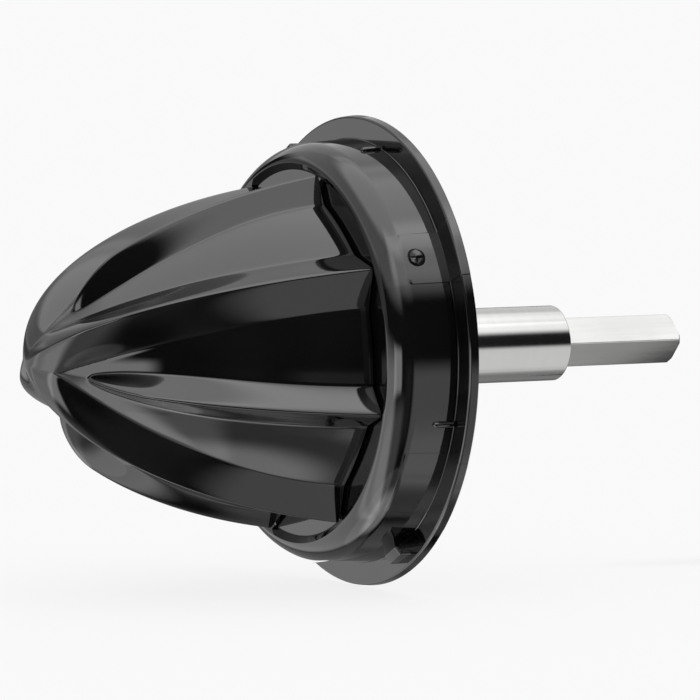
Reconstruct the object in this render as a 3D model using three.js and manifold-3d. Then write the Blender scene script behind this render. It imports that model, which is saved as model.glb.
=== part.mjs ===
// Reamer assembly of a lever citrus press: a ribbed cone on a drive shaft that turns in a
// flanged drip collar. Millimetres, +Z up. The turning axis is X, the cone's tip points to -X,
// and the origin is the middle of the square drive end's face.
// Heights are distances from that face towards the tip, so a height h lies at x = -h.
import * as THREE from 'three';
import { mergeVertices } from 'three/addons/utils/BufferGeometryUtils.js';
import Module from 'manifold-3d';

const wasm = await Module();
wasm.setup();

// Driving dimensions
const FIT = 0.3; // running or seating gap between neighbours
const SQUARE = 7.95; // drive square, across its flats
const SQUARE_LENGTH = 31.8;
const JOURNAL_R = 6; // round shaft inside the sleeve
const SLEEVE_R = 8.5;
const SLEEVE_REAR = 31.2; // height of the sleeve's open rear end
const SLEEVE_FRONT = 114.5;
const FLANGE_BACK = 80.7; // seating plane of the collar
const FLANGE_R = 52.5;
const FLANGE_THICK = 2.25;
const COLLAR_FLOOR = 97; // dished floor under the cone
const FLOOR_THICK = 2.4;
const CONE_BASE = 97.74;
const TIP_RISE = 83.2; // tip above the seating plane
const RIDGE_TURN = 29.6; // first long ridge, degrees up from the -Y side
const HUB_BOTTOM = 116.6;
const HUB_DISC = 3;
const HUB_SCREW_RING = 17;
const SLEEVE_SCREW_RING = 13.2;

const MATERIALS = {
  gloss_black: { color: 0x0b0b0c, roughness: 0.12, metalness: 0 },
  satin_black: { color: 0x17181a, roughness: 0.4, metalness: 0 },
  stainless: { color: 0xc9cacb, roughness: 0.22, metalness: 1 },
  zinc_steel: { color: 0xb4b6b8, roughness: 0.35, metalness: 1 },
  bearing_plastic: { color: 0xd9d4c4, roughness: 0.5, metalness: 0 },
  rubber: { color: 0x1b1b1b, roughness: 0.8, metalness: 0 },
};

const root = new THREE.Group();

// Closed, merged solid of a geometry, without the slivers that a pole of a lathe leaves
function solid(geometry) {
  const bare = new THREE.BufferGeometry();
  bare.setAttribute('position', geometry.getAttribute('position').clone());
  if (geometry.index) {
    bare.setIndex(geometry.index.clone());
  }
  const merged = mergeVertices(bare, 1e-4);
  const source = merged.index.array;
  const kept = [];
  for (let i = 0; i < source.length; i += 3) {
    const [a, b, c] = [source[i], source[i + 1], source[i + 2]];
    if (a !== b && b !== c && c !== a) {
      kept.push(a, b, c);
    }
  }
  const mesh = new wasm.Mesh({
    numProp: 3,
    vertProperties: new Float32Array(merged.getAttribute('position').array),
    triVerts: new Uint32Array(kept),
  });
  return new wasm.Manifold(mesh);
}

function addNode(name, body, material) {
  const mesh = body.getMesh();
  const geometry = new THREE.BufferGeometry();
  geometry.setAttribute('position', new THREE.BufferAttribute(mesh.vertProperties, 3));
  geometry.setIndex(new THREE.BufferAttribute(mesh.triVerts, 1));
  const node = new THREE.Mesh(geometry, new THREE.MeshStandardMaterial(MATERIALS[material]));
  node.name = name;
  root.add(node);
}

// Solid of revolution about X from an outline of [height, radius] points
function revolve(outline, segments) {
  let area = 0;
  outline.forEach(([h, r], i) => {
    const [h2, r2] = outline[(i + 1) % outline.length];
    area += r * h2 - r2 * h;
  });
  const ordered = area > 0 ? outline : [...outline].reverse();
  const points = ordered.map(([h, r]) => new THREE.Vector2(r, h));
  points.push(points[0].clone());
  return solid(new THREE.LatheGeometry(points, segments).rotateZ(Math.PI / 2));
}

// Tube between two heights, and a full rod where the inner radius is nought
function tube(bottom, top, outer, inner, segments = 24) {
  return revolve([[bottom, inner], [bottom, outer], [top, outer], [top, inner]], segments);
}

// Place a body made on the -Y side of the axis at an angle, in degrees up from -Y towards +Z
function turned(body, degrees) {
  return body.rotate([-degrees, 0, 0]);
}

// Box between heights and radii, as wide as given, at an angle round the axis
function block(bottom, top, inner, outer, width, degrees) {
  const box = new THREE.BoxGeometry(top - bottom, outer - inner, width);
  box.translate(-(bottom + top) / 2, -(inner + outer) / 2, 0);
  return turned(solid(box), degrees);
}

// Block with a side outline of [height, radius] points, as wide as given, at an angle round the axis
function fin(outline, width, degrees) {
  const shape = new THREE.Shape(outline.map(([h, r]) => new THREE.Vector2(-h, -r)));
  const prism = new THREE.ExtrudeGeometry(shape, { depth: width, bevelEnabled: false });
  return turned(solid(prism.translate(0, 0, -width / 2)), degrees);
}

// Rod along X at a distance from the axis, and the same repeated evenly round it
function post(bottom, top, radius, ring, degrees, sides = 16) {
  const rod = new THREE.CylinderGeometry(radius, radius, top - bottom, sides).rotateZ(Math.PI / 2);
  rod.translate(-(bottom + top) / 2, -ring, 0);
  return turned(solid(rod), degrees);
}

function around(count, first, make) {
  let group = make(first);
  for (let i = 1; i < count; i += 1) {
    group = group.add(make(first + (360 / count) * i));
  }
  return group;
}

// The fluted cone. Its crest line and its valley line are both power curves from base to tip.
// Four long ridges run up to the tip, four short ones rise from the valleys with a round nose.
const CREST = { radius: 43.2, reach: TIP_RISE, bend: 1.444, fullness: 0.444 };
const VALLEY = { radius: 38.18, reach: TIP_RISE + 2.6, bend: 1.934, fullness: 0.637 };
const FLANK = 6.6; // width of one flank of a ridge
const BOW = 0.56; // how hollow the flanks are
const SCOOP = 1.52; // depth of the hollow along the middle of a valley
const NOSE = { start: 73.3, full: 64 }; // rise above the seat where a short ridge starts and is whole
const CREASE = 0.12; // softness of the crease between flank and valley

function power(curve, rise) {
  const fraction = Math.min(1, Math.max(0, rise / curve.reach));
  return curve.radius * (1 - fraction ** curve.bend) ** curve.fullness;
}

function ramp(distance, width) {
  const v = 1 - distance / width;
  const even = (v + Math.sqrt(v * v + CREASE * CREASE)) / (1 + Math.sqrt(1 + CREASE * CREASE));
  return even - BOW * even * (1 - even);
}

function noseShare(rise) {
  const run = Math.min(1, Math.max(0, (rise - NOSE.full) / (NOSE.start - NOSE.full)));
  return Math.sqrt(1 - run * run);
}

// Radius of the cone at an angle from a long ridge, in degrees, and a rise above the seat
function coneRadius(angle, rise, crestWall = 0, valleyWall = 0) {
  const crest = power(CREST, rise) - crestWall;
  const valley = Math.min(power(VALLEY, rise) - valleyWall, crest);
  const pitch = (((angle % 90) + 90) % 90) / 90;
  const toLong = Math.min(pitch, 1 - pitch) * (Math.PI / 2);
  const toShort = Math.PI / 4 - toLong;
  const middle = (crest + valley) / 2;
  const share = noseShare(rise);
  const offMiddle = (8 * toLong) / Math.PI - 1;
  const scoop = SCOOP * Math.max(0, 1 - offMiddle ** 2) * Math.sqrt(Math.max(0, 1 - rise / TIP_RISE));
  const long = ramp(middle * toLong, FLANK);
  const short = share * ramp(middle * toShort, FLANK * Math.max(share, 0.5));
  return valley - scoop + (crest - valley) * Math.max(long, short);
}

// Angles of one 45 degree sector: close together on the flanks, wide across the valley
const SECTOR = [0, 3.4, 7.4, 12, 22.5, 33, 37.6, 41.6];
const ANGLES = [];
for (let i = 0; i < 8; i += 1) {
  SECTOR.forEach((step) => ANGLES.push(i * 45 + step));
}

// Closed body whose rings follow the cone's section, from the given rises, ending on the axis
function flutedBody(rises, tip, crestWall, valleyWall) {
  const position = [];
  const index = [];
  const count = ANGLES.length;
  rises.forEach((rise) => {
    ANGLES.forEach((angle) => {
      const r = coneRadius(angle, Math.max(rise, CONE_BASE - FLANGE_BACK), crestWall, valleyWall);
      const a = THREE.MathUtils.degToRad(angle + RIDGE_TURN);
      position.push(-(FLANGE_BACK + rise), -r * Math.cos(a), r * Math.sin(a));
    });
  });
  const base = position.length / 3;
  position.push(-(FLANGE_BACK + rises[0]), 0, 0);
  position.push(-(FLANGE_BACK + tip), 0, 0);
  const last = (rises.length - 1) * count;
  for (let k = 0; k < count; k += 1) {
    const next = (k + 1) % count;
    index.push(base, next, k);
    index.push(base + 1, last + k, last + next);
    for (let ring = 0; ring < last; ring += count) {
      index.push(ring + k, ring + next, ring + count + next);
      index.push(ring + k, ring + count + next, ring + count + k);
    }
  }
  const geometry = new THREE.BufferGeometry();
  geometry.setAttribute('position', new THREE.Float32BufferAttribute(position, 3));
  geometry.setIndex(index);
  return solid(geometry);
}

const BASE_RISE = CONE_BASE - FLANGE_BACK;
const OUTER_RISES = [BASE_RISE, 24, 31, 38, 45, 51, 56, 60, 63.5, 66.5, 69, 71.2, 72.8, 74.6, 76.8,
  78.8, 80.6, 82, 82.9];
const INNER_RISES = [BASE_RISE - 2, BASE_RISE, 30, 42, 51, 59, 65.5];
const CAVITY_TOP = 66;
const HUB_TOP = HUB_BOTTOM + 20.2;
const BOSS_TOP = 148;

function reamerCone() {
  const shell = flutedBody(OUTER_RISES, TIP_RISE, 0, 0)
    .subtract(flutedBody(INNER_RISES, CAVITY_TOP, 3.2, 2.3));
  const bottom = HUB_BOTTOM + HUB_DISC + FIT;
  const bosses = around(4, RIDGE_TURN, (a) => post(bottom, BOSS_TOP, 3.6, HUB_SCREW_RING, a));
  const holes = around(4, RIDGE_TURN, (a) => post(bottom - 1, bottom + 13, 1.6, HUB_SCREW_RING, a, 12));
  return shell.add(bosses).subtract(holes);
}

// Moulded hub that carries the cone on the shaft: a disc, a tall boss and four gussets
const SHAFT_SHOULDER = HUB_BOTTOM - FIT;
const SPIGOT_R = 5;
const PIN_HEIGHT = HUB_BOTTOM + 7;
const PIN_R = 1.5;
const HUB_BOSS_R = 9.6;
const HUB_DISC_R = 21.5;

function crossBore(height, radius, length) {
  const rod = new THREE.CylinderGeometry(radius, radius, length, 16).rotateX(Math.PI / 2);
  return solid(rod.translate(-height, 0, 0));
}

function coneHub() {
  const disc = HUB_BOTTOM + HUB_DISC;
  const body = revolve([[HUB_BOTTOM, SPIGOT_R + FIT], [HUB_BOTTOM, HUB_DISC_R - 0.8],
    [HUB_BOTTOM + 0.8, HUB_DISC_R], [disc, HUB_DISC_R], [disc, HUB_BOSS_R + 1],
    [disc + 1, HUB_BOSS_R], [HUB_TOP, HUB_BOSS_R - 0.6], [HUB_TOP, SPIGOT_R + FIT]], 36);
  const gussets = around(4, RIDGE_TURN + 45, (a) => block(disc - 0.5, disc + 9, HUB_BOSS_R - 1.2, 15, 2, a));
  const slopes = around(4, RIDGE_TURN + 45, (a) => {
    const cut = new THREE.BoxGeometry(16, 8, 4).rotateZ(-0.55).translate(-disc - 11.5, -17.6, 0);
    return turned(solid(cut), a);
  });
  const holes = around(4, RIDGE_TURN, (a) => post(HUB_BOTTOM - 1, disc + 1, 1.7, HUB_SCREW_RING, a));
  const pinBore = crossBore(PIN_HEIGHT, PIN_R + FIT, 40);
  return body.add(gussets.subtract(slopes)).subtract(holes).subtract(pinBore);
}

// Stainless shaft: square drive end with a turned chamfer, round journal, clip groove and spigot
const GROOVE = 32.9;
const CLIP_THICK = 1.2;
const GROOVE_R = 5;
const SHAFT_TOP = HUB_TOP - 2;
const BOLT_HOLE = HUB_BOTTOM + 10.2;

function driveShaft() {
  const corner = SQUARE / Math.SQRT2;
  const square = new THREE.CylinderGeometry(corner, corner, SQUARE_LENGTH, 4);
  square.rotateZ(Math.PI / 2).translate(-SQUARE_LENGTH / 2, 0, 0);
  const turnedEnd = revolve([[0, 0], [0, corner - 0.9], [0.8, corner + 0.1], [SQUARE_LENGTH, corner + 0.1],
    [SQUARE_LENGTH, 0]], 36);
  const round = revolve([[SQUARE_LENGTH - 0.4, 0], [SQUARE_LENGTH - 0.4, JOURNAL_R - 0.4],
    [SQUARE_LENGTH, JOURNAL_R], [GROOVE - FIT, JOURNAL_R], [GROOVE - FIT, GROOVE_R],
    [GROOVE + CLIP_THICK + FIT, GROOVE_R], [GROOVE + CLIP_THICK + FIT, JOURNAL_R],
    [SHAFT_SHOULDER, JOURNAL_R], [SHAFT_SHOULDER, SPIGOT_R], [SHAFT_TOP - 0.6, SPIGOT_R],
    [SHAFT_TOP, SPIGOT_R - 0.6], [SHAFT_TOP, 2.2], [BOLT_HOLE, 2.2], [BOLT_HOLE, 0]], 28);
  return turned(solid(square).intersect(turnedEnd), 1.4).add(round)
    .subtract(crossBore(PIN_HEIGHT, PIN_R + FIT, 40));
}

// Pan-head screw pointing to the tip, its head at the rear
function screw(head, reach, ring, degrees) {
  const pan = revolve([[head, 0], [head, 1.9], [head + 0.7, 2.6], [head + 2, 2.6], [head + 2, 1.3],
    [reach - 1, 1.3], [reach, 0.5], [reach, 0]], 12);
  const slot = new THREE.BoxGeometry(1.4, 3.4, 0.8).translate(-head, 0, 0);
  return turned(pan.subtract(solid(slot)).translate([0, -ring, 0]), degrees);
}

// E-shaped clip that keeps the shaft in the sleeve
function retainingClip() {
  const ring = tube(GROOVE, GROOVE + CLIP_THICK, JOURNAL_R + 1.15, GROOVE_R + FIT);
  const mouth = new THREE.BoxGeometry(4, 9, 6.6).translate(-GROOVE - 0.6, 6.5, 0);
  return ring.subtract(solid(mouth));
}

// Drip collar: bell, dished floor, chimney round the shaft, seating flange and bayonet lugs
const CHIMNEY_TOP = 113;
const WALL_FOOT_R = 47.25; // the wall flares from the shoulder down to the flange
const WALL_BORE = 42.9;
const SHOULDER = { start: 92.3, radius: 46.6, lip: 98.15, lipRadius: 42.2, power: 1.62, steps: 6 };
const LUG_ANGLE = -60.3;
const LUG_LEAN = 2.8; // how far the lug's front step is turned on from its foot
const LUG_WIDTH = 5.4;
const LUG_R = 51;
const POINTER_ANGLE = -16.2;
const POINTER_WIDTH = 1.6;
const NOTCH_ANGLE = -124;
const NOTCH_TOP = 90;
const NOTCH_WALL_R = 46; // the notch cuts the wall's flare back to this radius at the flange
const COLLAR_SEGMENTS = 60;

function collarBody() {
  const shoulder = [];
  for (let i = 0; i <= SHOULDER.steps; i += 1) {
    const q = (i / SHOULDER.steps) * (Math.PI / 2);
    const bend = 2 / SHOULDER.power;
    shoulder.push([SHOULDER.start + (SHOULDER.lip - SHOULDER.start) * Math.sin(q) ** bend,
      SHOULDER.lipRadius + (SHOULDER.radius - SHOULDER.lipRadius) * Math.max(0, Math.cos(q)) ** bend]);
  }
  const front = FLANGE_BACK + FLANGE_THICK;
  const back = COLLAR_FLOOR - FLOOR_THICK;
  const bore = SLEEVE_R + FIT;
  return revolve([[FLANGE_BACK, FLANGE_R], [front - 0.35, FLANGE_R - 0.2], [front, FLANGE_R - 0.55],
    [front, WALL_FOOT_R], ...shoulder, [COLLAR_FLOOR + 0.45, 41.3], [COLLAR_FLOOR, 40.8],
    [COLLAR_FLOOR, 17], [104.5, 16.6], [107, 12.4], [CHIMNEY_TOP, 12], [CHIMNEY_TOP, bore],
    [back + 1.4, bore], [back + 1.4, 11.4], [back, 11.4], [back, 40.4], [back - 1.2, 42.6],
    [back - 3.4, 43.8], [FLANGE_BACK, WALL_BORE]], COLLAR_SEGMENTS);
}

// Opening in the flange where the juice runs off, wide at the bell and narrow at the rim. It runs up
// the bell's flared wall, which it cuts back.
function drainNotch() {
  const outline = new THREE.Shape();
  outline.moveTo(36, 27.2);
  outline.lineTo(38.5, 25.9);
  outline.lineTo(56, 5.8);
  outline.lineTo(56, -5.8);
  outline.lineTo(38.5, -25.9);
  outline.lineTo(36, -27.2);
  const prism = new THREE.ExtrudeGeometry(outline, { depth: NOTCH_TOP - FLANGE_BACK + 2, bevelEnabled: false });
  const out = new THREE.Vector3(0, -1, 0);
  const up = new THREE.Vector3(0, 0, 1);
  const forward = new THREE.Vector3(-1, 0, 0);
  prism.applyMatrix4(new THREE.Matrix4().makeBasis(out, up, forward));
  prism.translate(-FLANGE_BACK + 2, 0, 0);
  const bell = revolve([[FLANGE_BACK - 4, 0], [FLANGE_BACK - 4, NOTCH_WALL_R - 0.96],
    [FLANGE_BACK + 12, NOTCH_WALL_R + 1.5], [FLANGE_BACK + 12, 0]], COLLAR_SEGMENTS);
  return turned(solid(prism), NOTCH_ANGLE).subtract(bell);
}

// Bayonet lug: a foot on the flange against the bell, with a smaller ramped step in front of it
function lug(degrees) {
  const foot = [[82.4, 44.6], [82.4, LUG_R], [86, LUG_R], [86.4, LUG_R - 0.5], [86.4, 44.6]];
  const step = [[86, 44.8], [86, 48.7], [87.6, 48.7], [89.4, 47.4], [89.7, 46.2], [89.7, 44.8]];
  return fin(foot, LUG_WIDTH, degrees).add(fin(step, LUG_WIDTH - 0.6, degrees + LUG_LEAN));
}

// Pointer rib on the bell, running out to a point towards the cone
function pointer(degrees) {
  return fin([[83.5, 44.8], [83.5, 47.9], [88.2, 47.7], [90.1, 46.6], [90.1, 44.8]], POINTER_WIDTH, degrees);
}

const PIP = { height: 89.8, angle: 29.5, radius: 1.85, ring: 46.6 };

function dripCollar() {
  const back = COLLAR_FLOOR - FLOOR_THICK;
  const pointers = around(4, POINTER_ANGLE, pointer);
  const pip = new THREE.SphereGeometry(PIP.radius, 16, 12).translate(-PIP.height, -PIP.ring, 0);
  const ring = tube(back - 5, back + 0.5, 20, 18, 40);
  const ribs = around(8, 22.5, (a) => block(back - 4, back + 0.5, 19.2, 43.6, 1.8, a));
  const holes = around(3, 0, (a) => post(back - 1, 103.2, 1.6, SLEEVE_SCREW_RING, a, 12));
  return collarBody().subtract(drainNotch()).add(lug(LUG_ANGLE)).add(lug(LUG_ANGLE + 180))
    .add(pointers).add(turned(solid(pip), PIP.angle)).add(ring).add(ribs).subtract(holes);
}

// Polished sleeve: the fixed bearing tube, with a mounting flange behind the collar's floor
const BUSH_R = 7.4;
const REAR_BUSH = 35.5;
const FRONT_BUSH = 100;
const BUSH_LENGTH = 11.5;

function bearingSleeve() {
  const back = COLLAR_FLOOR - FLOOR_THICK;
  const seat = BUSH_R + FIT;
  const body = revolve([[SLEEVE_REAR, seat], [SLEEVE_REAR, SLEEVE_R - 0.3], [SLEEVE_REAR + 0.3, SLEEVE_R],
    [back - 2.6, SLEEVE_R], [back - 2.6, 16.6], [back - 2.2, 17], [back - FIT, 17], [back - FIT, SLEEVE_R],
    [SLEEVE_FRONT, SLEEVE_R], [SLEEVE_FRONT, seat], [FRONT_BUSH - FIT, seat], [FRONT_BUSH - FIT, 6.8],
    [REAR_BUSH + BUSH_LENGTH + FIT, 6.8], [REAR_BUSH + BUSH_LENGTH + FIT, seat]], 32);
  const holes = around(3, 0, (a) => post(back - 4, back, 1.7, SLEEVE_SCREW_RING, a, 12));
  return body.subtract(holes);
}

const SHAFT_BORE = JOURNAL_R + FIT;
const COLLAR_BACK = COLLAR_FLOOR - FLOOR_THICK;

addNode('reamer_cone', reamerCone(), 'gloss_black');
addNode('cone_hub', coneHub(), 'satin_black');
for (let i = 0; i < 4; i += 1) {
  const body = screw(HUB_BOTTOM - 2.3, HUB_BOTTOM + 14, HUB_SCREW_RING, RIDGE_TURN + 90 * i);
  addNode(`hub_screw_${i + 1}`, body, 'zinc_steel');
}
addNode('drive_shaft', driveShaft(), 'stainless');
addNode('cross_pin', crossBore(PIN_HEIGHT, PIN_R, 2 * HUB_BOSS_R - 0.8), 'zinc_steel');
addNode('hub_washer', tube(HUB_TOP + FIT, HUB_TOP + 1.5, 7.6, 2.9, 32), 'zinc_steel');
addNode('hub_bolt', revolve([[BOLT_HOLE + 0.6, 0], [BOLT_HOLE + 0.6, 1.9], [HUB_TOP + 1.8, 1.9],
  [HUB_TOP + 1.8, 4.4], [HUB_TOP + 4.4, 4.4], [HUB_TOP + 5, 3.6], [HUB_TOP + 5, 0]], 24), 'zinc_steel');
addNode('thrust_washer', tube(SLEEVE_FRONT + FIT, SHAFT_SHOULDER - 0.1, 10, SHAFT_BORE), 'bearing_plastic');
addNode('retaining_clip', retainingClip(), 'zinc_steel');
addNode('rear_washer', tube(34.7, REAR_BUSH - FIT, BUSH_R, SHAFT_BORE), 'stainless');
addNode('drip_collar', dripCollar(), 'gloss_black');
addNode('bearing_sleeve', bearingSleeve(), 'stainless');
addNode('rear_bush', tube(REAR_BUSH, REAR_BUSH + BUSH_LENGTH, BUSH_R, SHAFT_BORE), 'bearing_plastic');
addNode('front_bush', tube(FRONT_BUSH, FRONT_BUSH + BUSH_LENGTH, BUSH_R, SHAFT_BORE), 'bearing_plastic');
addNode('shaft_seal', tube(FRONT_BUSH + BUSH_LENGTH + FIT, SLEEVE_FRONT - 0.2, BUSH_R, SHAFT_BORE), 'rubber');
addNode('sleeve_gasket', tube(COLLAR_BACK, COLLAR_BACK + 1.1, 11.1, SLEEVE_R + FIT, 32), 'rubber');
for (let i = 0; i < 3; i += 1) {
  addNode(`sleeve_screw_${i + 1}`, screw(COLLAR_BACK - 4.9, 102.5, SLEEVE_SCREW_RING, 120 * i), 'zinc_steel');
}

export default root;
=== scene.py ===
# Looks of the reamer assembly of a citrus press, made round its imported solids.
# The turning axis is X, the cone's tip points to -X and the drive end's face is at the origin.
# Sizes are millimetres and become metres in the meshes. A height is a distance from the drive
# end's face towards the tip, and an angle goes up from the -Y side towards +Z.
import math

import bpy
import numpy as np
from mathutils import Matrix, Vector


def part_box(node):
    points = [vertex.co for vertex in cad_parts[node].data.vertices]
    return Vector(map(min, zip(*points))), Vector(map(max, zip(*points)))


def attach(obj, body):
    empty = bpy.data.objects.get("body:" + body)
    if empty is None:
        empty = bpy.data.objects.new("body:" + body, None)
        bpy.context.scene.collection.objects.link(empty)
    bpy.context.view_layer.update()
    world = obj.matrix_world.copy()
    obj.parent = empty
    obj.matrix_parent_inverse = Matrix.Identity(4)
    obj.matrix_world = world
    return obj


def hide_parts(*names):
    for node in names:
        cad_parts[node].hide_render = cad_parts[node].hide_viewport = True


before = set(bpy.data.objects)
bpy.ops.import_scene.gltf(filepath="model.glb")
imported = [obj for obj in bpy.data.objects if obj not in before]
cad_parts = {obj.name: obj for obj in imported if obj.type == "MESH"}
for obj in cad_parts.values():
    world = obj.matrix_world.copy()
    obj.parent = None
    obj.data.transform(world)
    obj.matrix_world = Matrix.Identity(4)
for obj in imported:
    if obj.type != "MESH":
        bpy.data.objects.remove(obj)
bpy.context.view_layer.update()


# Reamer cone: a hollow moulding of gloss black plastic, screwed to the hub from inside.
# Four long ridges meet at the tip, and four short ones rise between them with a round nose.
# It comes polished out of the mould, so it shows hardly any texture, only faint handling marks.
def heights(node):
    """Lowest and highest height of a node, in millimetres."""
    low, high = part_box(node)
    return -high.x * 1000, -low.x * 1000


def place(height, radius, angle):
    """Points in metres from height, radius and angle in radians, all arrays of one shape."""
    height, radius, angle = np.broadcast_arrays(height, radius, angle)
    return 0.001 * np.stack([-height, -radius * np.cos(angle), radius * np.sin(angle)], -1)


def outward(vertices, faces):
    """The same closed mesh, its faces turned round where their signed volume is negative."""
    corners = vertices[[[*face, face[-1]][:4] for face in faces]]
    first, second, third, fourth = np.moveaxis(corners, 1, 0)
    volume = np.sum(first * (np.cross(second, third) + np.cross(third, fourth)))
    return vertices, faces if volume > 0 else [face[::-1] for face in faces]


def skin(points, ring=False):
    """Closed mesh of a grid of points, rows by columns. The columns close on themselves. So do the
    rows of a ring, and other grids close both end rows with a fan round their middle point."""
    rows, columns = points.shape[:2]
    vertices = points.reshape(-1, 3)
    across = np.arange(columns)
    beside = (across + 1) % columns
    start = np.arange(rows if ring else rows - 1)[:, None] * columns
    above = (start + columns) % (rows * columns)
    quads = np.stack([start + across, start + beside, above + beside, above + across], -1)
    faces = quads.reshape(-1, 4).tolist()
    if not ring:
        middle = len(vertices)
        last = (rows - 1) * columns
        vertices = np.vstack([vertices, points[0].mean(0), points[-1].mean(0)])
        for i, j in zip(across.tolist(), beside.tolist()):
            faces += [[middle, j, i], [middle + 1, last + i, last + j]]
    return outward(vertices, faces)


def piece(name, shells, body, replaced, sharp=40):
    """One object made of closed shells, riding on a body in place of CAD nodes. Faces meeting at
    more than the sharp angle keep a crisp edge."""
    vertices, faces, start = [], [], 0
    for points, polygons in shells:
        vertices.append(points)
        faces += [[start + i for i in polygon] for polygon in polygons]
        start += len(points)
    mesh = bpy.data.meshes.new(name)
    mesh.from_pydata(np.vstack(vertices).tolist(), [], faces)
    mesh.validate()
    mesh.shade_smooth()
    mesh.set_sharp_from_angle(angle=math.radians(sharp))
    made = bpy.data.objects.new(name, mesh)
    bpy.context.scene.collection.objects.link(made)
    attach(made, body)
    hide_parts(*replaced)
    return made


cone_base, cone_tip = heights("reamer_cone")
seat = heights("drip_collar")[0]
TIP_RISE = cone_tip - seat
BASE_RISE = cone_base - seat
CREST = {"radius": 42.9, "reach": TIP_RISE, "bend": 1.72, "fullness": 0.5275}
VALLEY = {"radius": 37.84, "reach": TIP_RISE, "bend": 2.285, "fullness": 0.877}
TIP_SHARE = 0.59  # share of the crest's radius that the valleys keep near the tip
VALLEY_BLEND = 1.0  # how softly the valley's curve passes into that share
LONG_FLANK = 6.74  # width of one flank of a long ridge
SHORT_FLANK = 4.8
NARROWEST = 0.4  # width of a short ridge's flank at its nose
LONG_HOLLOW = 0.13  # how hollow the flanks are, beside a plane one
SHORT_HOLLOW = 0.22
SCOOP = 1.5  # depth of the hollow along the middle of a valley
SCOOP_FADE = 0.75  # power of its fading towards the tip
NOSE_START = 73.5  # rise where a short ridge begins
NOSE_FULL = 63.7  # rise where it has its full height
NOSE_WIDE = 46.0  # rise where it has its full width
RIDGE_TURN = math.radians(29.6)
CREST_ROUND = 0.28  # radius on top of a ridge
CREASE = 0.05  # softness of the crease between flank and valley, as a share of the flank
EDGE = 0.25  # radius along the cone's base edge
CREST_WALL = 3.2
VALLEY_WALL = 2.3
CAVITY_ROWS = (24, 30, 36, 42, 47, 51, 55, 58.5, 61.5, 64, 65.5)  # rises up to where the hollow ends
SECTOR = math.pi / 4
ON_AXIS = 0.01  # a radius that stands for the axis


def power_curve(curve, rise):
    """radius x (1 - (rise / reach) ^ bend) ^ fullness"""
    share = np.clip(rise / curve["reach"], 0, 1)
    return curve["radius"] * (1 - share ** curve["bend"]) ** curve["fullness"]


def soft_step(value):
    """0 at or below 0, 1 at or above 1, smooth between."""
    share = np.clip(value, 0, 1)
    return share * share * (3 - 2 * share)


def ramp(distance, width, bow):
    """1 on the crest line, falling to 0 at a width on a hollow flank, with a softened foot."""
    v = 1 - (np.hypot(distance, CREST_ROUND) - CREST_ROUND) / width
    even = (v + np.sqrt(v * v + CREASE ** 2)) / (1 + math.sqrt(1 + CREASE ** 2))
    return even - bow * even * (1 - even)


def hollow(extra, width, middle, tall):
    """Bow of a flank: what makes it plane on a round body, plus an extra, and less than 1."""
    return np.clip(extra + width ** 2 / (2 * middle * np.maximum(tall, 0.3)), 0, 0.95)


def quarter(rise, full):
    """Quarter ellipse, 0 where a short ridge begins and 1 at the rise where it is full."""
    run = np.clip((rise - full) / (NOSE_START - full), 0, 1)
    return np.sqrt(1 - run * run)


def radii(rise):
    """Radius of the crests and of the valleys: a curve that blends into a share of the crests."""
    crest = power_curve(CREST, rise)
    low, top = power_curve(VALLEY, rise), TIP_SHARE * crest
    return crest, np.minimum((low + top + np.hypot(low - top, VALLEY_BLEND)) / 2, crest - ON_AXIS)


def flanks(rise, middle):
    """Width of one flank of the long and of the short ridges."""
    long = np.minimum(LONG_FLANK, SECTOR * middle)
    return long, np.maximum(SHORT_FLANK * quarter(rise, NOSE_WIDE), NARROWEST)


def cone_radius(angle, rise, crest_wall=0.0, valley_wall=0.0):
    """Valley radius plus the higher of the long and the short ridge at an angle from a long one."""
    crest, valley = radii(rise)
    crest = np.maximum(crest - crest_wall, 2 * ON_AXIS)
    valley = np.clip(valley - valley_wall, ON_AXIS, crest - ON_AXIS)
    pitch = np.mod(angle, 2 * SECTOR)
    to_long = np.minimum(pitch, 2 * SECTOR - pitch)
    middle = (crest + valley) / 2
    tall = crest - valley
    share = quarter(rise, NOSE_FULL)
    off_middle = 2 * to_long / SECTOR - 1
    fading = np.clip(1 - rise / TIP_RISE, 0, 1) ** SCOOP_FADE
    scoop = SCOOP * np.maximum(1 - off_middle ** 2, 0) * fading
    wide, narrow = flanks(rise, middle)
    long_ridge = ramp(middle * to_long, wide, hollow(LONG_HOLLOW, wide, middle, tall))
    short_bow = hollow(SHORT_HOLLOW, narrow, middle, share * tall)
    short_ridge = share * ramp(middle * (SECTOR - to_long), narrow, short_bow)
    return valley - scoop + tall * np.maximum(long_ridge, short_ridge)


def cone_columns(rise):
    """Angles of the grid's columns at each rise. They follow the crests and the creases: steps are
    shares of a flank's width, close together on the crest and at the crease."""
    middle = sum(radii(rise)) / 2
    wide, narrow = (width / middle for width in flanks(rise, middle))
    wide = np.minimum(wide, 0.48 * SECTOR)
    narrow = np.minimum(narrow, 0.3 * SECTOR)
    steps = np.array([0, 0.02, 0.05, 0.1, 0.2, 0.35, 0.5, 0.65, 0.8, 0.9, 0.96, 1, 1.04, 1.1, 1.2])
    near = wide[:, None] * steps
    far = SECTOR - narrow[:, None] * steps[::-1]
    between = np.linspace(0, 1, 9)[1:-1]
    valley_part = near[:, -1:] + (far[:, :1] - near[:, -1:]) * between
    half = np.hstack([near, valley_part, far])
    pitch = np.hstack([half, 2 * SECTOR - half[:, -2:0:-1]])
    return np.hstack([pitch + 2 * SECTOR * k for k in range(4)])


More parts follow.
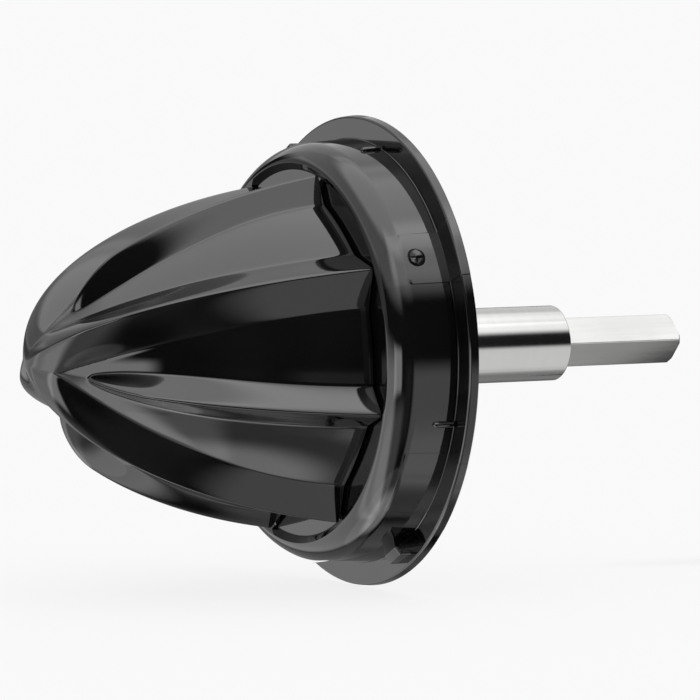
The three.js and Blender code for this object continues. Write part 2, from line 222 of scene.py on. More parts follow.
def cone_shell():
    """Outer skin from the tip down to the base edge, round the edge, and the inner skin back up.
    Rows crowd towards the tip as a power of the way, so that the blunt tip stays round."""
    way = np.linspace(0, 1, 190)[1:]
    outer = TIP_RISE - (TIP_RISE - BASE_RISE - EDGE) * way ** 1.9
    turn = np.linspace(0, math.pi / 2, 6)[1:]
    soft_edge = BASE_RISE + EDGE * (1 - np.sin(turn))
    inner = np.array([BASE_RISE, BASE_RISE + 0.4, *CAVITY_ROWS])
    rows = np.concatenate([outer, soft_edge, inner])
    columns = cone_columns(np.minimum(rows, TIP_RISE - 2 * ON_AXIS))
    rise = rows[:, None]
    outside = cone_radius(columns, rise)
    first_inner = len(outer) + len(turn)
    outside[len(outer):first_inner] -= EDGE * (1 - np.cos(turn))[:, None]
    inside = cone_radius(columns, rise, CREST_WALL, VALLEY_WALL)
    in_cavity = np.arange(len(rows)) >= first_inner
    radius = np.where(in_cavity[:, None], inside, outside)
    return skin(place(seat + rise, radius, columns + RIDGE_TURN))


cone = piece("reamer_cone_skin", [cone_shell()], "reamer", ["reamer_cone"])


class Wire:
    """A shader socket in a node tree. Arithmetic on it adds Math nodes."""

    def __init__(self, tree, socket=None):
        self.tree = tree
        self.socket = socket

    def add(self, kind, settings, values, out=0):
        """New node of a kind: its settings first, then the values or links of its sockets."""
        node = self.tree.nodes.new(kind)
        for key, value in settings.items():
            setattr(node, key, value)
        for key, value in values.items():
            if isinstance(value, Wire):
                self.tree.links.new(value.socket, node.inputs[key])
            else:
                node.inputs[key].default_value = value
        return Wire(self.tree, node.outputs[out] if len(node.outputs) else None)

    def math(self, operation, *others):
        values = {i: v for i, v in enumerate((self, *others))}
        return self.add("ShaderNodeMath", {"operation": operation}, values)

    def __add__(self, other):
        return self.math("ADD", other)

    def __sub__(self, other):
        return self.math("SUBTRACT", other)

    def __rsub__(self, other):
        return self.add("ShaderNodeMath", {"operation": "SUBTRACT"}, {0: other, 1: self})

    def __mul__(self, other):
        return self.math("MULTIPLY", other)

    __radd__ = __add__
    __rmul__ = __mul__

    def clear(self, low, high):
        """0 at or below low, 1 at or above high, smooth between."""
        settings = {"interpolation_type": "SMOOTHSTEP"}
        return self.add("ShaderNodeMapRange", settings, {"Value": self, "From Min": low, "From Max": high})

    def blend(self, dark, light):
        """Colour between two, by this mask."""
        values = {0: self, 6: (*dark, 1), 7: (*light, 1)}
        return self.add("ShaderNodeMix", {"data_type": "RGBA"}, values, 2)


def noise(at, scale, detail=3.0, stretch=(1, 1, 1)):
    """Cloudy pattern from 0 to 1 on object coordinates, stretched along the axes."""
    spot = at.add("ShaderNodeMapping", {}, {"Vector": at, "Scale": stretch})
    return at.add("ShaderNodeTexNoise", {}, {"Vector": spot, "Scale": scale, "Detail": detail})


def new_material(name):
    """Empty material with a Principled shader: gives the material, a wire at the piece's own
    coordinates and a function that finishes the shader."""
    made = bpy.data.materials.new(name)
    made.use_nodes = True
    tree = made.node_tree
    tree.nodes.clear()
    at = Wire(tree).add("ShaderNodeTexCoord", {}, {}, 3)

    def finish(values, bump=None, height=0.0):
        if bump is not None:
            settings = {"Height": bump, "Distance": height}
            values["Normal"] = at.add("ShaderNodeBump", {}, settings)
        shader = at.add("ShaderNodeBsdfPrincipled", {}, values)
        at.add("ShaderNodeOutputMaterial", {}, {"Surface": shader})
        return made

    return at, finish


def worn_edges(at):
    """1 on edges and ridges that stand out, broken up by a fine cloud."""
    sharp = at.add("ShaderNodeNewGeometry", {}, {}, 7).clear(0.52, 0.6)
    return sharp * noise(at, 260, 3).clear(0.3, 0.6)


def gloss_black():
    """Polished mould finish: near-black, slow waves of the surface, faint cloudy smears and a few
    fine hairlines that are duller than the rest. The edges are rubbed a little dull."""
    at, finish = new_material("gloss_black")
    smear = noise(at, 38, 4).clear(0.42, 0.72)
    edge = worn_edges(at)
    hair = noise(at, 150, 2, (0.12, 1, 1)).clear(0.66, 0.78)
    dust = noise(at, 1400, 1).clear(0.7, 0.8)
    waves = noise(at, 60, 1)
    return finish({
        "Base Color": smear.blend((0.0045, 0.0045, 0.005), (0.007, 0.007, 0.0075)),
        "Roughness": 0.045 + 0.02 * smear + 0.05 * hair + 0.04 * dust + 0.07 * edge,
        "IOR": 1.8,
    }, waves, 0.00004)


black = gloss_black()
cone.data.materials.append(black)

# Hub and what fastens it: a satin black glass-filled hub, zinc-plated screws, bolt, pin and washer.
# All of it is closed in by the cone, and is seen only on the bench.


def satin_black():
    """Fine mould grain on a dull black."""
    at, finish = new_material("satin_black")
    grain = noise(at, 900, 3)
    patch = noise(at, 30, 3)
    return finish({
        "Base Color": patch.blend((0.016, 0.016, 0.017), (0.026, 0.026, 0.028)),
        "Roughness": 0.38 + 0.14 * patch - 0.12 * worn_edges(at),
    }, grain, 0.00006)


def metal(name, dark, light, roughness, along, height):
    """Metal with fine lines: noise stretched by the along factors, under a cloudy tone and
    roughness. Its edges are rubbed bright and a little rougher."""
    at, finish = new_material(name)
    lines = noise(at, 700, 3, along)
    edge = worn_edges(at)
    cloud = 0.7 * noise(at, 45, 4) + 0.3 * lines + 0.5 * edge
    return finish({
        "Base Color": cloud.clear(0.2, 0.9).blend(dark, light),
        "Metallic": 1.0,
        "Roughness": roughness + 0.05 * lines + 0.05 * cloud + 0.06 * edge,
    }, lines, height)


def dress(names, material):
    """Gives CAD nodes that stay as they are a material."""
    for name in names:
        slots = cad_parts[name].data.materials
        slots.clear()
        slots.append(material)


zinc = metal("zinc_steel", (0.42, 0.44, 0.46), (0.6, 0.61, 0.62), 0.22, (1, 1, 1), 0.00002)
dress(["cone_hub"], satin_black())
dress([f"hub_screw_{i}" for i in range(1, 5)], zinc)
dress(["cross_pin", "hub_washer", "hub_bolt", "retaining_clip"], zinc)

# Drive shaft: one bar of stainless steel with a ground square at the drive end, turned down to a
# round journal inside the sleeve. The end of the square has a turned chamfer.
SQUARE = 7.95  # across its flats
SQUARE_LENGTH = 31.8
SQUARE_EDGE = 0.22  # radius along the square's corners
SQUARE_TURN = math.radians(1.4)
CHAMFER = 0.9  # how far it cuts the corners back at the drive face
CHAMFER_SLOPE = 1.15  # radius gained with height
JOURNAL = {"radius": 6.0, "edge": 0.35}
SPIGOT = {"radius": 5.0, "edge": 0.6}
CLIP_GROOVE = (32.6, 34.4)  # heights between which the retaining clip sits


def square_radius(angle, size, edge):
    """Radius of a square of a size with rounded corners, at angles from a corner: the distance to
    the flat, or to the circle that rounds the corner."""
    from_corner = np.abs(np.mod(angle + SECTOR, 2 * SECTOR) - SECTOR)
    flat = size / 2 / np.cos(SECTOR - from_corner)
    centre = (size / 2 - edge) * math.sqrt(2)
    reach = np.maximum(edge ** 2 - (centre * np.sin(from_corner)) ** 2, 0)
    corner = centre * np.cos(from_corner) + np.sqrt(reach)
    on_corner = from_corner < math.atan2(edge, size - edge)
    return np.where(on_corner, np.minimum(corner, flat), flat)


def shaft_shell():
    """Rows from the drive face to the spigot: the square, cut by the turned chamfer's cone at its
    end, then the round journal, its clip groove, the shoulder and the spigot."""
    corner = np.concatenate([[0, 0.015, 0.03, 0.045, 0.07, 0.12, 0.2, 0.35, 0.55], [SECTOR]])
    half = np.concatenate([corner, 2 * SECTOR - corner[-2:0:-1]])
    angle = np.concatenate([half + 2 * SECTOR * k for k in range(4)]) + SQUARE_TURN
    shape = square_radius(angle - SQUARE_TURN, SQUARE, SQUARE_EDGE)[None, :]
    ends = np.concatenate([[0, 0.05], np.linspace(0.1, 1.6, 46), [1.7, 2.2, 8, 20, 30, SQUARE_LENGTH]])
    chamfer_cut = SQUARE / math.sqrt(2) - CHAMFER + ends * CHAMFER_SLOPE
    square_part = np.minimum(shape, chamfer_cut[:, None])
    journal, spigot = JOURNAL["radius"], SPIGOT["radius"]
    groove, groove_end = CLIP_GROOVE
    top = heights("drive_shaft")[1]
    shoulder = heights("cone_hub")[0] - 0.3  # just clear of the hub
    outline = np.array([
        [SQUARE_LENGTH, journal - JOURNAL["edge"]], [SQUARE_LENGTH + JOURNAL["edge"], journal],
        [groove, journal], [groove, spigot], [groove_end, spigot], [groove_end, journal],
        [shoulder, journal], [shoulder, spigot],
        [top - SPIGOT["edge"], spigot], [top, spigot - SPIGOT["edge"]], [top, ON_AXIS]])
    rows = np.concatenate([ends, outline[:, 0]])
    radius = np.vstack([square_part, np.repeat(outline[:, 1:], len(angle), 1)])
    face = np.full((1, len(angle)), ON_AXIS)
    radius = np.vstack([face, radius])
    rows = np.concatenate([[0], rows])
    return skin(place(rows[:, None], radius, angle))


steel = metal("stainless_ground", (0.58, 0.58, 0.57), (0.76, 0.76, 0.75), 0.14, (0.05, 1, 1), 0.000004)
shaft = piece("drive_shaft_ground", [shaft_shell()], "reamer", ["drive_shaft"], 25)
shaft.data.materials.append(steel)

# Bearing sleeve: a polished stainless tube with a flange at its front end that lies behind the
# collar's floor. Its rim is broken with a small radius.
SLEEVE_R = 8.5
SLEEVE_BORE = 7.7
SLEEVE_EDGE = 0.3
SLEEVE_FLANGE = {"radius": 17.0, "front": 0.3, "rear": 2.6}  # its faces are that far behind the gasket


def rounded(corners, steps=5):
    """Closed outline of height and radius from corners of height, radius and rounding. A rounded
    corner becomes a parabola that leaves both sides at the rounding, or at under half of a side,
    with one more point beyond each end, so that the flats beside it stay flat in the shading."""
    corners = np.array(corners, float)
    spot, rounding = corners[:, :2], corners[:, 2]
    before = np.roll(spot, 1, 0) - spot
    after = np.roll(spot, -1, 0) - spot
    long_before = np.linalg.norm(before, axis=1)
    long_after = np.linalg.norm(after, axis=1)
    reach = np.minimum(rounding, 0.35 * np.minimum(long_before, long_after))
    start = before * (reach / long_before)[:, None]
    end = after * (reach / long_after)[:, None]
    t = np.linspace(0, 1, steps)[None, :, None]
    curve = (1 - t) ** 2 * start[:, None] + t ** 2 * end[:, None]
    curve = np.concatenate([1.3 * start[:, None], curve, 1.3 * end[:, None]], 1) + spot[:, None]
    kept = (rounding > 0)[:, None] | (np.arange(steps + 2) == 0)
    return curve[kept]


def lathe(outline, columns):
    """Ring whose section is a closed outline of height and radius, turned about the axis."""
    angle = np.linspace(0, 2 * math.pi, columns, endpoint=False)
    return skin(place(outline[:, :1], outline[:, 1:], angle), ring=True)


rear, front = heights("bearing_sleeve")
floor_back = heights("sleeve_gasket")[0]
flange_rear = floor_back - SLEEVE_FLANGE["rear"]
flange_front = floor_back - SLEEVE_FLANGE["front"]
flange_radius = SLEEVE_FLANGE["radius"]
sleeve_outline = rounded([
    [rear, SLEEVE_BORE, SLEEVE_EDGE], [rear, SLEEVE_R, SLEEVE_EDGE], [flange_rear, SLEEVE_R, 0.2],
    [flange_rear, flange_radius, SLEEVE_EDGE], [flange_front, flange_radius, SLEEVE_EDGE],
    [flange_front, SLEEVE_R, 0.1], [front, SLEEVE_R, SLEEVE_EDGE], [front, SLEEVE_BORE, SLEEVE_EDGE]])
sleeve = piece("bearing_sleeve_polished", [lathe(sleeve_outline, 128)], "holder",
               ["bearing_sleeve"], 25)
polished = metal("stainless_polished", (0.6, 0.6, 0.59), (0.68, 0.68, 0.67), 0.08, (1, 0.2, 0.2), 0.000003)
sleeve.data.materials.append(polished)

# Bushes, seal, gasket and washers: plain rings of natural bearing plastic, rubber and steel, pressed
# or clipped in the sleeve. Only the rear ones show, at the sleeve's open end.


def plain_ring(name, dark, light, roughness):
    """Moulded or turned ring: two close tones and a fine grain, rubbed smoother on its edges."""
    at, finish = new_material(name)
    patch = noise(at, 120, 3)
    return finish({
        "Base Color": patch.blend(dark, light),
        "Roughness": roughness + 0.12 * patch - 0.1 * worn_edges(at),
    }, noise(at, 1500, 2), 0.00003)


bearing = plain_ring("bearing_plastic", (0.6, 0.57, 0.48), (0.7, 0.67, 0.58), 0.42)
rubber = plain_ring("rubber", (0.012, 0.012, 0.012), (0.02, 0.02, 0.02), 0.6)
dress(["thrust_washer", "rear_bush", "front_bush"], bearing)
dress(["shaft_seal", "sleeve_gasket"], rubber)
dress(["rear_washer"], steel)
dress([f"sleeve_screw_{i}" for i in range(1, 4)], zinc)

# Drip collar: one gloss black moulding, bayonet-locked into the juice bowl, that the cone turns in.
# A bell with a dished floor under the cone and a chimney round the shaft stands on a seating
# flange. Its wall tapers from the flange to a shoulder, and carries a pip and faint insert lines.
FLANGE_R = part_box("drip_collar")[1].z * 1000
FLANGE_FRONT = 82.95
WALL_FOOT = 47.25  # the wall's radius at the flange's front
WALL_BORE = 42.9
COLLAR_FLOOR = 97.0
SHOULDER = {"start": 92.3, "radius": 46.6, "lip": 98.15, "lip_radius": 42.2, "power": 1.62}
PIP = {"height": 89.7, "angle": math.radians(29.4), "radius": 1.88, "stand": 1.75}
PIP_RING = 0.22  # width and depth of the sunk ring round the pip
PADS = ((math.radians(29.25), math.radians(7.35), 93.05),  # middle, half its angle, and upper edge
        (math.radians(-34.7), math.radians(10.25), 93.4))
PAD_STAND = 0.05
PAD_EDGE = 0.16  # width of the step round a plate
PAD_ROUND = 1.1  # radius of its corners
NOTCH_ANGLE = math.radians(-124)
NOTCH_SIDE = ((36, 27.2), (38.5, 25.9), (56, 7.0))  # along and across the notch's own middle line
NOTCH_TIP = math.radians(13.4)  # where the notch's side meets the rim
RELIEF = {"radius": 46.0, "foot": 83.55, "level": 87.0, "taper": 0.04, "half": math.radians(45)}
RELIEF_END = math.radians(5)  # angle in which the relief runs out
BORE_COVER = 0.2  # how far inside the wall the plate's hidden edge lies
BELL_REAR = seat + 0.05
CHIMNEY = {"front": 113.0, "radius": 12.0, "bore": 8.8}
GASKET_GROOVE = {"depth": 1.4, "radius": 11.4}


def side_radius(start, end, turn):
    """Where a ray at an angle from the notch's middle line meets the line through two points."""
    along, across = end[0] - start[0], end[1] - start[1]
    return (start[0] * across - start[1] * along) / (np.cos(turn) * across - np.sin(turn) * along)


def plate_edge(turn):
    """Inner radius of the flange at an angle from the notch: the nearer of the notch's two sides,
    or, past its corner, a radius hidden in the bell's wall."""
    turn = np.abs(turn)
    corner = math.atan2(NOTCH_SIDE[0][1], NOTCH_SIDE[0][0])
    cut = np.minimum(side_radius(NOTCH_SIDE[1], NOTCH_SIDE[2], np.minimum(turn, corner)),
                     side_radius(NOTCH_SIDE[0], NOTCH_SIDE[1], np.minimum(turn, corner)))
    hidden = WALL_BORE + BORE_COVER
    return np.where(turn < corner, np.maximum(cut, hidden), hidden)


def wall_radius(height):
    """Straight taper up to the shoulder, then a superellipse quarter to the lip."""
    rise = np.clip((height - FLANGE_FRONT) / (SHOULDER["start"] - FLANGE_FRONT), -1, 1)
    taper = WALL_FOOT + (SHOULDER["radius"] - WALL_FOOT) * rise
    share = np.clip((height - SHOULDER["start"]) / (SHOULDER["lip"] - SHOULDER["start"]), 0, 1)
    closing = (1 - share ** SHOULDER["power"]) ** (1 / SHOULDER["power"])
    return taper - (SHOULDER["radius"] - SHOULDER["lip_radius"]) * (1 - closing)


def pads(height, angle):
    """Faint plates that the mould's inserts leave from the flange's rim to the shoulder. Each one
    is a rounded rectangle, raised by a soft step of its signed distance."""
    raised = 0
    for middle, half, top in PADS:
        side = (np.abs(angle - middle) - half) * SHOULDER["radius"] + PAD_ROUND
        up = height - top + PAD_ROUND
        outside = np.hypot(np.maximum(side, 0), np.maximum(up, 0)) - PAD_ROUND
        outside = outside + np.minimum(np.maximum(side, up), 0)
        raised = raised + PAD_STAND * soft_step(0.5 - outside / PAD_EDGE)
    return raised


def pip_ring(height, angle):
    """Half-round channel that the pip stands in: a cosine across its width."""
    away = np.hypot(height - PIP["height"], (angle - PIP["angle"]) * SHOULDER["radius"])
    off = np.clip(np.abs(away - PIP["radius"]) / PIP_RING, 0, 1)
    return -PIP_RING * (1 + np.cos(math.pi * off)) / 2


def collar_columns(plain):
    """Angles of the grid: even ones, with narrow steps at the pads' edges and across the pip."""
    even = np.linspace(-math.pi, math.pi, plain, endpoint=False)
    edges = [middle + side * half for middle, half, _ in PADS for side in (-1, 1)]
    reach = 0.12 / SHOULDER["radius"]
    close = [np.linspace(edge - reach, edge + reach, 9) for edge in edges]
    round_pip = np.linspace(-2.3, 2.3, 47) / SHOULDER["radius"] + PIP["angle"]
    for band in (*close, round_pip):
        even = even[(even < band[0] - 0.01) | (even > band[-1] + 0.01)]
    return np.sort(np.concatenate([even, round_pip, *close]))


def bell_shell():
    """Turned section of wall, lip, floor, chimney and hollow back. The wall's rows carry the pads
    and the pip's ring, so they are close together there, and a relief beside the notch cuts them
    back. The inside goes from lip to floor, chimney, gasket's groove and the wall's inner side."""
    top = SHOULDER["lip"]
    height = np.concatenate([
        [BELL_REAR, FLANGE_FRONT - 0.1, 83.5, 83.56], np.linspace(84.2, 87.3, 6),
        np.linspace(87.4, 92.0, 47), np.linspace(92.2, 92.85, 4), np.linspace(92.9, 93.6, 22),
        np.linspace(93.8, 97, 12), top - 1.15 * np.linspace(0.94, 0, 12) ** 2])
    back = floor_back
    groove = back + GASKET_GROOVE["depth"]
    inside = [[97.45, 41.3, 0.3], [COLLAR_FLOOR, 40.7, 0.3], [COLLAR_FLOOR, 17, 2.5], [104.5, 16.6, 1.5],
              [107, 12.4, 1], [CHIMNEY["front"], CHIMNEY["radius"], 0.3],
              [CHIMNEY["front"], CHIMNEY["bore"], 0.3], [groove, CHIMNEY["bore"], 0],
              [groove, GASKET_GROOVE["radius"], 0], [back, GASKET_GROOVE["radius"], 0.2],
              [back, 40.4, 0.6], [back - 1.2, 42.6, 0.6], [back - 3.4, 43.8, 1],
              [BELL_REAR, WALL_BORE, 0.15]]
    wall = np.column_stack([height, wall_radius(height), 0 * height])
    outline = rounded(np.vstack([wall, inside]))
    angle = collar_columns(200)
    height, radius = outline[:, :1], outline[:, 1:]
    turn = np.mod(angle - NOTCH_ANGLE + math.pi, 2 * math.pi) - math.pi
    detailed = radius + pads(height, angle) + pip_ring(height, angle)
    cut = RELIEF["radius"] + RELIEF["taper"] * np.maximum(height - RELIEF["level"], 0)
    beside = soft_step((RELIEF["half"] - np.abs(turn)) / RELIEF_END) * (height > RELIEF["foot"])
    relieved = np.where(detailed < plate_edge(turn), 1, beside)
    detailed = detailed - relieved * np.maximum(detailed - cut, 0)
    on_wall = np.arange(len(outline))[:, None] < len(wall)
    return skin(place(height, np.where(on_wall, detailed, radius), angle), ring=True)


# Seating flange: the collar's plate, which drops onto the bowl's rim. It has a rounded rim and a
# small fillet to the wall. A drain notch with straight sides cuts through it at one place, wide at
# the bell and open at the rim.
FOOT_FILLET = 0.35
NOTCH_FINE = 0.4  # angle beside the notch in which the grid's columns crowd together


def flange_shell():
    """Section of the plate carried round from one side of the notch to the other, its radii held
    outside the plate's inner edge. The pads cross its front and its rim."""
    fillet = FLANGE_FRONT + FOOT_FILLET
    section = rounded([[seat, 0, 0], [seat, FLANGE_R, 0.3], [FLANGE_FRONT - 0.35, FLANGE_R - 0.2, 0.25],
                       [FLANGE_FRONT, FLANGE_R - 0.55, 0.25], [FLANGE_FRONT, WALL_FOOT, FOOT_FILLET],
                       [fillet + 0.2, wall_radius(fillet + 0.2), 0], [fillet + 0.2, 0, 0]])
    first, last = NOTCH_ANGLE + NOTCH_TIP, NOTCH_ANGLE - NOTCH_TIP + 2 * math.pi
    ends = NOTCH_FINE * np.linspace(0, 1, 90) ** 1.5
    plain_part = NOTCH_FINE + 0.01
    columns = collar_columns(200)
    angle = np.where(columns < first, columns + 2 * math.pi, columns)
    angle = np.sort(angle[(angle > first + plain_part) & (angle < last - plain_part)])
    angle = np.concatenate([first + ends, angle, last - ends[::-1]])[:, None]
    turn = np.mod(angle - NOTCH_ANGLE + math.pi, 2 * math.pi) - math.pi
    raised = pads(0, np.where(angle > math.pi, angle - 2 * math.pi, angle))
    on_front = np.abs(section[:, 0] - FLANGE_FRONT) < 0.2
    on_rim = (section[:, 1] > FLANGE_R - 1) & (section[:, 0] < FLANGE_FRONT - 0.2)
    radius = np.maximum(section[:, 1], plate_edge(turn)) + np.where(on_rim, raised - PAD_STAND, 0)
    height = section[:, 0] + np.where(on_front, raised, 0)
    return skin(place(height, radius, angle))


# Lugs, pointers and pip: moulded on the bell. Two opposite bayonet lugs stand on the flange
# with a ramp in front, four pointer ribs run up the wall to a blunt end, and one round pip is the
# detent that clicks in the bowl.
LUG_ANGLE = math.radians(-60.3)
LUG_WIDTH = 5.4
LUG_R = 51.0
LUG_RIDGE = {"height": 87.15, "radius": 49.2}
LUG_OUTER_FRONT = 86.25  # height of its front at the outer face
LUG_INNER_FRONT = 86.8  # and in the wall
ROOT = {"height": 82.4, "radius": 44.6}  # inside the flange and the wall
POINTER_ANGLE = math.radians(-16.2)
POINTER = {"half": 0.8, "stand": 0.85, "rear": 83.5, "front": 88.2, "closing": 1.2, "root": 45.0}
POINTER_FULLNESS = 0.35  # power of its section, from a flat top at 0 to a round one at 1


def inset(outline, amount):
    """A closed outline moved inwards by an amount, square to its own run."""
    run = np.roll(outline, -1, 0) - np.roll(outline, 1, 0)
    inward = np.column_stack([-run[:, 1], run[:, 0]]) / np.linalg.norm(run, axis=1)[:, None]
    h, r = outline[:, 0], outline[:, 1]
    sense = np.sign(np.sum(h * np.roll(r, -1) - np.roll(h, -1) * r))
    return outline + sense * amount * inward


def across(height, radius, side, angle):
    """Points beside a radial plane: height and radius in it, side square to it, in millimetres."""
    flat = place(height, radius, np.full(np.shape(height), angle))
    return flat + 0.001 * np.asarray(side)[..., None] * np.array([0, math.sin(angle), math.cos(angle)])


def bar_shell(corners, width, angle, edge=0.3):
    """Bar as wide as given across a radial plane: its side outline, drawn in on a quarter circle
    towards both end faces."""
    outline = rounded(corners)
    q = np.linspace(0, math.pi / 2, 5)
    drawn = edge * (1 - np.sin(q))
    place_across = -width / 2 + edge * (1 - np.cos(q))
    drawn = np.concatenate([[0.6 * edge + drawn[0]], drawn, drawn[::-1], [0.6 * edge + drawn[0]]])
    side = np.concatenate([[-width / 2], place_across, -place_across[::-1], [width / 2]])
    rows = np.stack([inset(outline, amount) for amount in drawn])
    points = across(rows[..., 0], rows[..., 1], np.broadcast_to(side[:, None], rows.shape[:2]), angle)
    return skin(points)


def lug_shell(angle):
    """Block on the flange. Its front falls away from a ridge: out to the lug's outer face, where it
    leads the lug in under the bowl's catch, and slightly in to the wall."""
    profile = [[ROOT["height"], ROOT["radius"], 0], [ROOT["height"], LUG_R, 0.2],
               [LUG_OUTER_FRONT, LUG_R, 0.15], [LUG_RIDGE["height"], LUG_RIDGE["radius"], 0.12],
               [LUG_INNER_FRONT, ROOT["radius"], 0]]
    return bar_shell(profile, LUG_WIDTH, angle, 0.4)


def pointer_shell(angle):
    """Rib with a rounded top along the wall, closed by a quarter of an ellipse at its blunt end."""
    rear, front, closing = POINTER["rear"], POINTER["front"], POINTER["closing"]
    rib = np.linspace(rear + 0.1, front - closing - 0.1, 8)
    end = front - closing * np.linspace(0.95, 0, 12) ** 2
    height = np.concatenate([[rear, rear + 0.05], rib, end])
    share = np.clip((height - front + closing) / closing, 0, 1)
    blunt = np.sqrt(1 - 0.98 * share ** 2)
    side = -POINTER["half"] * blunt[:, None] * np.cos(np.linspace(0, math.pi, 13))
    tall = wall_radius(height) + POINTER["stand"] * blunt - POINTER["root"]
    rise = POINTER["root"] + tall[:, None] * np.sin(np.linspace(0, math.pi, 13)) ** POINTER_FULLNESS
    return skin(across(np.broadcast_to(height[:, None], rise.shape), rise, side, angle))


def pip_shell():
    """Dome on the wall: half an ellipsoid of the pip's radius and stand, closed below the skin."""
    foot = wall_radius(PIP["height"]) - PIP_RING
    q = np.linspace(0, 0.5 * math.pi, 16)[:-1]
    turn = np.linspace(0, 2 * math.pi, 48, endpoint=False)
    reach = np.concatenate([[PIP["radius"]], PIP["radius"] * np.cos(q)])[:, None]
    stand = np.concatenate([[foot - 1], foot + (PIP["stand"] + PIP_RING) * np.sin(q)])[:, None]
    side = reach * np.sin(turn)
    return skin(across(PIP["height"] + reach * np.cos(turn), stand + 0 * side, side, PIP["angle"]))


# Back of the collar: eight ribs and a ring, moulded with it, stiffen the dished floor from behind.
# They are rooted a little inside the floor.
BACK_RIB = {"tall": 4.0, "inner": 19.2, "outer": 43.6, "width": 1.8}
BACK_RING = {"tall": 5.0, "inner": 18.0, "outer": 20.0}
BACK_ROOT = floor_back + 0.5


def back_section(size, inner_edge, outer_edge):
    """Section of a rib or ring: a strip between two radii, rounded along its rear edges."""
    rear = floor_back - size["tall"]
    return [[rear, size["inner"], inner_edge], [rear, size["outer"], outer_edge],
            [BACK_ROOT, size["outer"], 0], [BACK_ROOT, size["inner"], 0]]


def stiffener_shells():
    """A turned ring, and bars that stand halfway between the collar's axes and diagonals."""
    rib = back_section(BACK_RIB, 0.2, 0.4)
    ribs = [bar_shell(rib, BACK_RIB["width"], SECTOR * (k + 0.5), 0.2) for k in range(8)]
    return [lathe(rounded(back_section(BACK_RING, 0.3, 0.3)), 96)] + ribs


shells = [bell_shell(), flange_shell(), pip_shell(), lug_shell(LUG_ANGLE), lug_shell(LUG_ANGLE + math.pi)]
shells += [pointer_shell(POINTER_ANGLE + 2 * SECTOR * k) for k in range(4)]
shells += stiffener_shells()
collar = piece("drip_collar_moulding", shells, "holder", ["drip_collar"], 35)
collar.data.materials.append(black)

# Stage: a plain pale floor, a camera, and a studio whose soft boxes are patches of the world's light.
# The object is lit from a broad ceiling, from windows and cards round it and from a bright table
# below, and the side towards the camera is dark.
FLOOR_SIZE = 15  # metres from its middle to an edge
FLOOR_LEVEL = -0.0527  # metres, just under the flange's rim
FLOOR_GLOW = 0.85  # share of plain white in what the camera sees of the floor
floor_mesh = bpy.data.meshes.new("floor")
floor_corners = ((-1, -1), (1, -1), (1, 1), (-1, 1))
floor_points = [(x * FLOOR_SIZE, y * FLOOR_SIZE, FLOOR_LEVEL) for x, y in floor_corners]
floor_mesh.from_pydata(floor_points, [], [(0, 1, 2, 3)])
floor_piece = bpy.data.objects.new("floor", floor_mesh)
bpy.context.scene.collection.objects.link(floor_piece)
floor_piece.visible_glossy = False


def pale_floor():
    """Pale card. Most of what the camera sees of it is plain white, so the shadow stays faint."""
    made = bpy.data.materials.new("pale_floor")
    made.use_nodes = True
    tree = made.node_tree
    tree.nodes.clear()
    camera_ray = Wire(tree).add("ShaderNodeLightPath", {}, {}, 0)
    grain = noise(camera_ray.add("ShaderNodeTexCoord", {}, {}, 3), 6, 2)
    tone = grain.blend((0.66, 0.66, 0.66), (0.68, 0.68, 0.68))
    card = camera_ray.add("ShaderNodeBsdfDiffuse", {}, {"Color": tone})
    glow = camera_ray.add("ShaderNodeEmission", {}, {"Strength": 1.0})
    both = camera_ray.add("ShaderNodeMixShader", {}, {0: camera_ray * FLOOR_GLOW, 1: card, 2: glow})
    camera_ray.add("ShaderNodeOutputMaterial", {}, {"Surface": both})
    return made


floor_mesh.materials.append(pale_floor())


FLAG_LEVEL = -0.045  # metres, as its corners along and across the axis are
FLAG_CORNERS = ((-0.017, 0.012), (0.046, -0.012), (0.09, -0.012), (0.09, 0.012))


def flag():
    """Black card low under the shaft: the lower flat of the square mirrors its slanted edge."""
    mesh = bpy.data.meshes.new("flag")
    mesh.from_pydata([(x, y, FLAG_LEVEL) for x, y in FLAG_CORNERS], [], [(0, 1, 2, 3)])
    card = bpy.data.objects.new("flag", mesh)
    bpy.context.scene.collection.objects.link(card)
    card.visible_camera = False
    card.visible_shadow = False
    made = bpy.data.materials.new("flag")
    made.use_nodes = True
    made.node_tree.nodes.clear()
    cloth = Wire(made.node_tree).add("ShaderNodeBsdfDiffuse", {}, {"Color": (0.01, 0.01, 0.01, 1)})
    cloth.add("ShaderNodeOutputMaterial", {}, {"Surface": cloth})
    mesh.materials.append(made)


flag()


def window(value, low, high, soft):
    """1 between low and high, 0 outside, with edges as wide as soft."""
    half = soft / 2
    return value.clear(low - half, low + half) * (1 - value.clear(high - half, high + half))


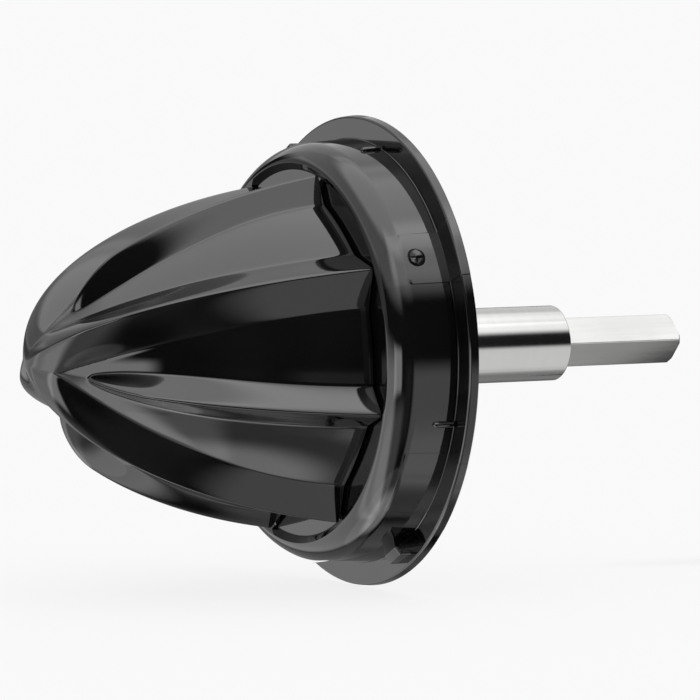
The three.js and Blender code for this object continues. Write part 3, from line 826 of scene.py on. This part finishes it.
# Soft boxes: azimuth from and to, elevation from and to, width of the soft edge, and strength.
# Azimuth is 0 at the -Y side and 90 at +X, so the camera stands at -29 and the tip points to -90.
BEHIND = 200  # past the seam at 180 degrees, behind the object
TOP = 110
UNDER = -110
SOFT_BOXES = {
    "ceiling": (-BEHIND, BEHIND, 55, TOP, 16, 1.6),
    "long window beside the tip": (-BEHIND, -30, 24, 52, 12, 0.65),
    "window over the camera": (-47, 60, 34, 62, 16, 1.3),
    "window behind the drive end": (60, BEHIND, 15, 55, 7, 0.75),
    "dim strip under the long window": (-165, -90, 6, 30, 4, 0.27),
    "strip light beside the camera": (-65, -40, -16, 3, 6, 1.7),
    "card low before the tip": (-115, -60, -82, 0, 16, 1.3),
    "card low on the tip's far side": (-175, -110, -85, 3, 15, 1.0),
    "card low behind the object": (146, BEHIND, -70, 17, 16, 0.27),
    "card low before the drive end": (-3, 88, -60, -5, 11, 0.58),
    "dim card low beside the drive end": (28, 143, -62, -2, 7, 0.25),
    "faint card under the camera": (-27, -10, -45, -4, 12, 0.06),
    "table's near left part": (-93, -30, UNDER, -22, 16, 0.43),
    "table, but not behind the drive end": (-BEHIND, 104, UNDER, -59, 2, 0.23),
    "table under the object": (-BEHIND, BEHIND, UNDER, -74, 11, 1.1),
}
DIMMEST = 0.014  # the room's light between the boxes


def studio():
    """World's light by azimuth, 0 at the -Y side and 90 at +X, and elevation, both in degrees."""
    world = bpy.data.worlds.new("studio")
    world.use_nodes = True
    tree = world.node_tree
    tree.nodes.clear()
    towards = Wire(tree).add("ShaderNodeTexCoord", {}, {}, 0)
    axes = towards.add("ShaderNodeSeparateXYZ", {}, {"Vector": towards})
    x, y, z = (Wire(tree, axes.socket.node.outputs[i]) for i in range(3))
    azimuth = x.math("ARCTAN2", y * -1) * math.degrees(1)
    elevation = z.math("ARCSINE") * math.degrees(1)
    light = DIMMEST
    for left, right_end, low_end, high_end, soft, strength in SOFT_BOXES.values():
        box = window(azimuth, left, right_end, soft) * window(elevation, low_end, high_end, soft)
        light = box * strength + light
    seen = towards.add("ShaderNodeLightPath", {}, {}, 0)
    lit = towards.add("ShaderNodeBackground", {}, {"Color": (1, 1, 1, 1), "Strength": light})
    white = towards.add("ShaderNodeBackground", {}, {"Color": (1, 1, 1, 1), "Strength": 1.0})
    both = towards.add("ShaderNodeMixShader", {}, {0: seen, 1: lit, 2: white})
    towards.add("ShaderNodeOutputWorld", {}, {"Surface": both})
    return world


scene = bpy.context.scene
scene.world = studio()
scene.view_settings.view_transform = "Standard"

# Camera: at the photograph's angle and distance, with a long lens.
YAW = math.radians(28.986)
RISE = math.radians(4.054)
DISTANCE = 1.3825
AIM_RIGHT = -0.002526  # metres from the flange's middle to what stands in the picture's middle
AIM_UP = 0.000078
LENS = 318.86
FILM_WIDTH = 36
towards = Vector((-math.sin(YAW) * math.cos(RISE), -math.cos(YAW) * math.cos(RISE), math.sin(RISE)))
right = Vector((math.cos(YAW), -math.sin(YAW), 0))
upward = towards.cross(right)
look_at = Vector((-seat / 1000, 0, 0)) + AIM_RIGHT * right + AIM_UP * upward
camera_data = bpy.data.cameras.new("camera")
camera_data.lens = LENS
camera_data.sensor_width = FILM_WIDTH
camera = bpy.data.objects.new("camera", camera_data)
scene.collection.objects.link(camera)
camera.location = look_at + DISTANCE * towards
camera.rotation_mode = "QUATERNION"
camera.rotation_quaternion = towards.to_track_quat("Z", "Y")
scene.camera = camera
